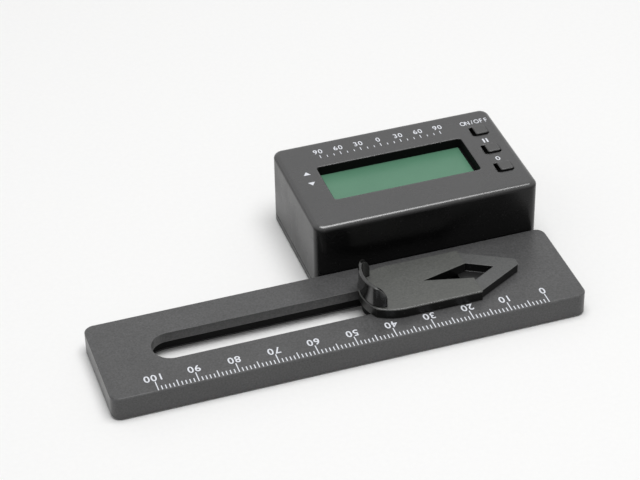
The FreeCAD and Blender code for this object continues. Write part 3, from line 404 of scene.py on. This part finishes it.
def wrapped(name):
    """Printed film around the cells: two plain bands and small creases."""
    tree, shader = blank(name)
    place = node(tree, "ShaderNodeTexCoord")
    parts = node(tree, "ShaderNodeSeparateXYZ", {"Vector": place.outputs["Object"]})
    low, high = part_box("cell_front")
    start, end = (low.x + share * (high.x - low.x) for share in WRAP_TURN)
    band = ranged(tree, parts.outputs["X"], start, end, 0.0, 1.0)
    creases = noise(tree, 2.6, detail=3.0, stretch=(5, 1, 1))
    base = mixed(tree, band, (0.030, 0.034, 0.040), (0.50, 0.30, 0.12))
    base = mixed(tree, ranged(tree, creases, 0.6, 0.8, 0.0, 0.3), base, (0.30, 0.30, 0.30))
    surface(tree, shader, base, ranged(tree, creases, 0.3, 0.7, 0.22, 0.34), creases, 0.02, 0.1)


SLIDE_FINISH = dict(
    grain=0.45, depth=0.016, edge=0.35, gloss=0.75, speckle=0.9, side_gloss=0.25, polish=0.34, matt=PAD_MATT
)

moulded(
    "arm_plastic", (0.098, 0.098, 0.099), 0.33,
    grain=0.45, depth=0.014, edge=0.25, gloss=0.37, speckle=0.8, painted_shade=TRACK_SHADE,
)
moulded(
    "case_plastic", (0.026, 0.026, 0.027), 0.27,
    grain=0.45, depth=0.010, edge=0.7, gloss=0.94, speckle=0.9, side_gloss=0.28, polish=0.001, rub=0.62,
)
moulded("slide_plastic", (0.083, 0.086, 0.079), 0.5, rub=0.7, **SLIDE_FINISH)
moulded("pointer_plastic", (0.083, 0.085, 0.084), 0.5, painted_shade=GUIDE_SHADE, **SLIDE_FINISH)
# Full edge wear on the keys also paints glints along their edges
moulded(
    "key_plastic", (0.045, 0.045, 0.045), 0.34,
    depth=0.006, edge=0.25, wear_and_glint_share=1.0, gloss=0.7, side_gloss=0.05, polish=0.2,
)
moulded("holder_plastic", (0.62, 0.62, 0.60), 0.45, wear_and_glint_share=0.1)
moulded("switch_plastic", (0.10, 0.10, 0.11), 0.40, edge=0.06, wear_and_glint_share=0.2)
moulded("chip_resin", (0.022, 0.022, 0.024), 0.55, grain=0.1, edge=0.05, wear_and_glint_share=0.3)
moulded("strip_rubber", (0.35, 0.32, 0.36), 0.7, grain=0.15, edge=0.1, wear_and_glint_share=0.0)
moulded("capacitor_ceramic", (0.36, 0.25, 0.16), 0.5, grain=0.1, edge=0.05, wear_and_glint_share=0.2)
metal("screw_steel", (0.52, 0.52, 0.53), 0.30)
metal("contact_metal", (0.66, 0.64, 0.58), 0.26)
wrapped("cell_wrap")
laminate("board_laminate")
display("lcd_glass")
moulded("lcd_back", (0.42, 0.46, 0.42), 0.35, grain=0.1, edge=0.04, wear_and_glint_share=0.0)
ink("white_print")
# Black for the border printed round the display, and for the painted shade on its recess walls
moulded("black_border_and_shade", (0.004, 0.004, 0.004), 0.75, grain=0.2, edge=0.02, wear_and_glint_share=0.0, gloss=0.08)

DRESS = {
    "arm_plastic": ["arm"],
    "case_plastic": ["case_top", "case_base", "battery_door"],
    "slide_plastic": ["slider_pad", "slider_foot"],
    "pointer_plastic": ["slider_carriage"],
    "key_plastic": ["key_zero", "key_hold", "key_power"],
    "screw_steel": ["case_screws", "board_screws", "slider_screws"],
    "cell_wrap": ["cell_front", "cell_rear"],
    "contact_metal": ["cell_link", "positive_contact", "negative_contact", "clock_crystal"],
    "board_laminate": ["circuit_board"],
    "lcd_glass": ["lcd_front_glass"],
    "lcd_back": ["lcd_back_glass"],
    "strip_rubber": ["lcd_contact_strips"],
    "holder_plastic": ["lcd_holder"],
    "switch_plastic": ["key_switches", "plunger_zero", "plunger_hold", "plunger_power"],
    "chip_resin": ["sensor_chip", "controller_chip"],
    "capacitor_ceramic": ["chip_capacitors"],
}
for finish, names in DRESS.items():
    for name in names:
        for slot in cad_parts[name].material_slots:
            slot.material = materials[finish]


# Pieces

def keep(name, shape, finish, body):
    """Turns a bmesh drawn in millimetres into a piece with that finish, riding on that body."""
    bmesh.ops.scale(shape, vec=(MM, MM, MM), verts=shape.verts)
    bmesh.ops.recalc_face_normals(shape, faces=shape.faces)
    mesh = bpy.data.meshes.new(name)
    shape.to_mesh(mesh)
    shape.free()
    piece = bpy.data.objects.new(name, mesh)
    bpy.context.scene.collection.objects.link(piece)
    piece.data.materials.append(materials[finish])
    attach(piece, body)


def plate(shape, outline, low):
    """A printed patch, one ink layer high, with that outline, a list of (x, y)."""
    bottom = [shape.verts.new((x, y, low)) for x, y in outline]
    top = [shape.verts.new((x, y, low + INK)) for x, y in outline]
    shape.faces.new(bottom[::-1])
    shape.faces.new(top)
    for i, corner in enumerate(bottom):
        after = (i + 1) % len(bottom)
        shape.faces.new((corner, bottom[after], top[after], top[i]))


def bar(shape, x0, x1, y0, y1, low):
    """A printed bar between those limits."""
    plate(shape, [(x0, y0), (x1, y0), (x1, y1), (x0, y1)], low)


def glyph(character, boldness):
    """The corner points and faces of one printed character, in units of its own font."""
    curve = bpy.data.curves.new("glyph", "FONT")
    curve.body = character
    curve.offset = boldness
    curve.resolution_u = 5
    carrier = bpy.data.objects.new("glyph", curve)
    mesh = bpy.data.meshes.new_from_object(carrier)
    points = [tuple(v.co[:2]) for v in mesh.vertices]
    faces = [tuple(f.vertices) for f in mesh.polygons]
    bpy.data.objects.remove(carrier)
    bpy.data.curves.remove(curve)
    bpy.data.meshes.remove(mesh)
    return points, faces


def lettering(shape, text, x, y, low, style, turned=False):
    """Prints text of that type centred on x, y. turned has it read from the case's side of the arm."""
    height, width, pitch, boldness = style
    model, _ = glyph("0", boldness)
    wide = max(p[0] for p in model) - min(p[0] for p in model)
    base = min(p[1] for p in model)
    tall = max(p[1] for p in model) - base
    way = -1 if turned else 1
    for i, character in enumerate(text):
        points, faces = glyph(character, boldness)
        centre = (max(p[0] for p in points) + min(p[0] for p in points)) / 2
        shift = (i - (len(text) - 1) / 2) * pitch
        ends = []
        for px, py in points:
            across = shift + (px - centre) * width / wide
            up = ((py - base) / tall - 0.5) * height
            ends.append(shape.verts.new((x + way * across, y + way * up, low + INK)))
        top = [shape.faces.new([ends[k] for k in face]) for face in faces]
        bmesh.ops.extrude_face_region(shape, geom=top)
        for end in ends:
            end.co.z = low


# The scale on the arm: a mark for each millimetre, longer at 5 and at 10, and a number at each 10
marks = bmesh.new()
for value in range(SCALE_LENGTH + 1):
    step = max(s for s in TICK_ENDS if value % s == 0)
    x = SCALE_ZERO_X - value
    bar(marks, x - TICK_WIDTH / 2, x + TICK_WIDTH / 2, TICK_START_Y, TICK_ENDS[step], ARM_TOP)
keep("scale_marks", marks, "white_print", "case")

numbers = bmesh.new()
for value in range(0, SCALE_LENGTH + 1, NUMBER_STEP):
    lettering(numbers, str(value), SCALE_ZERO_X - value, NUMBER_Y, ARM_TOP, SCALE_TYPE, turned=True)
keep("scale_numbers", numbers, "white_print", "case")

# The graduation over the window, with a number at each long mark
graduation = bmesh.new()
for angle in range(-GRADUATION_END, GRADUATION_END + 1, GRADUATION_STEP):
    x = GRADUATION_X + GRADUATION_HALF * angle / GRADUATION_END
    half = GRADUATION_WIDTH / 2
    front, back = GRADUATION_Y
    if angle % GRADUATION_LONG_STEP:
        bar(graduation, x - half, x + half, front, back - GRADUATION_SHORTER, CASE_TOP)
    else:
        bar(graduation, x - half, x + half, front, back, CASE_TOP)
        lettering(graduation, str(abs(angle)), x, GRADUATION_NUMBER_Y, CASE_TOP, ANGLE_TYPE)
keep("case_graduation", graduation, "white_print", "case")

# The signs: ON/OFF, two bars and a zero behind the keys, and two arrowheads beside the window
signs = bmesh.new()
lettering(signs, "ON/OFF", *POWER_SIGN, CASE_TOP, POWER_TYPE)
hold_x, hold_y = middle("key_hold")
for side in (-PAUSE_HALF_PITCH, PAUSE_HALF_PITCH):
    x = hold_x + side
    y = hold_y + SIGN_RISE
    bar(
        signs, x - PAUSE_HALF_WIDTH, x + PAUSE_HALF_WIDTH, y - PAUSE_HALF_HEIGHT, y + PAUSE_HALF_HEIGHT,
        CASE_TOP,
    )
zero_x, zero_y = middle("key_zero")
lettering(signs, "0", zero_x, zero_y + SIGN_RISE, CASE_TOP, ZERO_TYPE)
for y, way in zip(ARROW_Y, (1, -1)):
    foot = y - ARROW_FOOT * way
    arrow = [(ARROW_X - ARROW_HALF, foot), (ARROW_X + ARROW_HALF, foot), (ARROW_X, y + ARROW_TIP * way)]
    plate(signs, arrow[::way], CASE_TOP)
keep("case_signs", signs, "white_print", "case")


def window_outline(inset):
    """The outline of the window, so far inside its walls, anticlockwise from its back right corner."""
    x0, x1 = WINDOW_X[0] + inset, WINDOW_X[1] - inset
    y0, y1 = WINDOW_Y[0] + inset, WINDOW_Y[1] - inset
    radius = WINDOW_CORNER - inset
    points = []
    for x, y, start in ((x1, y1, 0), (x0, y1, 90), (x0, y0, 180), (x1, y0, 270)):
        centre_x = x - radius if x == x1 else x + radius
        centre_y = y - radius if y == y1 else y + radius
        for i in range(CORNER_STEPS + 1):
            angle = math.radians(start + 90 * i / CORNER_STEPS)
            points.append((centre_x + radius * math.cos(angle), centre_y + radius * math.sin(angle)))
    return points


# A black sheet of painted shade on the walls of the display's recess
shade_sheet = bmesh.new()
shade_sheet_top = CASE_TOP - SHADE_SHEET_DROP
section = (
    (SHADE_SHEET_GAP, GLASS_TOP), (SHADE_SHEET_GAP, shade_sheet_top), (SHADE_SHEET_INNER, shade_sheet_top), (SHADE_SHEET_INNER, GLASS_TOP),
)
loops = [[shade_sheet.verts.new((x, y, height)) for x, y in window_outline(inset)] for inset, height in section]
for i, loop in enumerate(loops):
    other = loops[(i + 1) % len(loops)]
    for j, corner in enumerate(loop):
        after = (j + 1) % len(loop)
        shade_sheet.faces.new((corner, loop[after], other[after], other[j]))
keep("display_painted_shade", shade_sheet, "black_border_and_shade", "case")

# The black border printed round the display's glass, partly under the case
border = bmesh.new()
outer_x = (WINDOW_X[0] - BORDER_UNDER, WINDOW_X[1] + BORDER_UNDER)
outer_y = (WINDOW_Y[0] - BORDER_UNDER, WINDOW_Y[1] + BORDER_UNDER)
inner_x = (WINDOW_X[0] + BORDER_LEFT, WINDOW_X[1] - BORDER_RIGHT)
inner_y = (WINDOW_Y[0] + BORDER_FRONT, WINDOW_Y[1] - BORDER_BACK)
bar(border, *outer_x, outer_y[0], inner_y[0], GLASS_TOP)
bar(border, *outer_x, inner_y[1], outer_y[1], GLASS_TOP)
bar(border, outer_x[0], inner_x[0], *inner_y, GLASS_TOP)
bar(border, inner_x[1], outer_x[1], *inner_y, GLASS_TOP)
keep("display_border", border, "black_border_and_shade", "case")


# Floor, light and camera

tree, shader = blank("floor")
paper = ranged(tree, noise(tree, 1.2, detail=3.0), 0.3, 0.7, 0.0, 1.0)
pale = mixed(tree, paper, (0.925, 0.925, 0.92), (0.94, 0.94, 0.935))
tree.links.new(pale, shader.inputs["Base Color"])
shader.inputs["Roughness"].default_value = 0.8
shader.inputs["Specular IOR Level"].default_value = 0.2
floor_mesh = bpy.data.meshes.new("floor")
ends = [
    mm(x * FLOOR_HALF, y * FLOOR_HALF, -FLOOR_DROP) for x, y in ((-1, -1), (1, -1), (1, 1), (-1, 1))
]
floor_mesh.from_pydata(ends, [], [(0, 1, 2, 3)])
floor = bpy.data.objects.new("floor", floor_mesh)
floor.data.materials.append(materials["floor"])
bpy.context.scene.collection.objects.link(floor)

# The room: bright behind, above and to the left, dim on the camera's side, and white where it is seen
world = bpy.data.worlds.new("room")
bpy.context.scene.world = world
world.use_nodes = True
tree = world.node_tree
tree.nodes.clear()
place = node(tree, "ShaderNodeTexCoord")
facing = dotted(tree, place.outputs["Generated"], ROOM_BRIGHT_SIDE)
level = ranged(tree, facing, *ROOM_TURN, *ROOM_LEVEL)
path = node(tree, "ShaderNodeLightPath")
seen = joined(tree, path.outputs["Is Camera Ray"], path.outputs["Is Transmission Ray"], "MAXIMUM")
seen = joined(tree, seen, path.outputs["Is Glossy Ray"], "MAXIMUM")
strength = node(tree, "ShaderNodeMix", {"Factor": seen, "A": level, "B": 1.0}, data_type="FLOAT")
background = node(tree, "ShaderNodeBackground", {"Strength": strength.outputs["Result"]})
background.inputs["Color"].default_value = (1.0, 1.0, 1.0, 1.0)
node(tree, "ShaderNodeOutputWorld", {"Surface": background.outputs["Background"]})

# One wide softbox over the object, aimed at the origin
light = bpy.data.lights.new("overhead", "AREA")
light.shape = "RECTANGLE"
light.size = SOFTBOX_DEPTH * MM
light.size_y = SOFTBOX_WIDTH * MM
light.energy = SOFTBOX_WATTS
lamp = bpy.data.objects.new("overhead", light)
lamp.location = mm(*SOFTBOX_PLACE)
lamp.rotation_mode = "QUATERNION"
lamp.rotation_quaternion = Vector(SOFTBOX_PLACE).to_track_quat("Z", "Y")
bpy.context.scene.collection.objects.link(lamp)

azimuth = math.radians(CAMERA_AZIMUTH)
elevation = math.radians(CAMERA_ELEVATION)
outward = math.cos(elevation)
back = Vector((-math.sin(azimuth) * outward, -math.cos(azimuth) * outward, math.sin(elevation)))
camera_data = bpy.data.cameras.new("camera")
camera_data.sensor_fit = "HORIZONTAL"
camera_data.sensor_width = SENSOR
camera_data.lens = LENS
camera_data.clip_start = CAMERA_NEAR * MM
camera = bpy.data.objects.new("camera", camera_data)
camera.location = mm(*CAMERA_PLACE)
camera.rotation_mode = "QUATERNION"
roll = Quaternion((0, 0, 1), math.radians(CAMERA_ROLL))
camera.rotation_quaternion = back.to_track_quat("Z", "Y") @ roll
bpy.context.scene.collection.objects.link(camera)
bpy.context.scene.camera = camera
bpy.context.scene.view_settings.view_transform = "Standard"
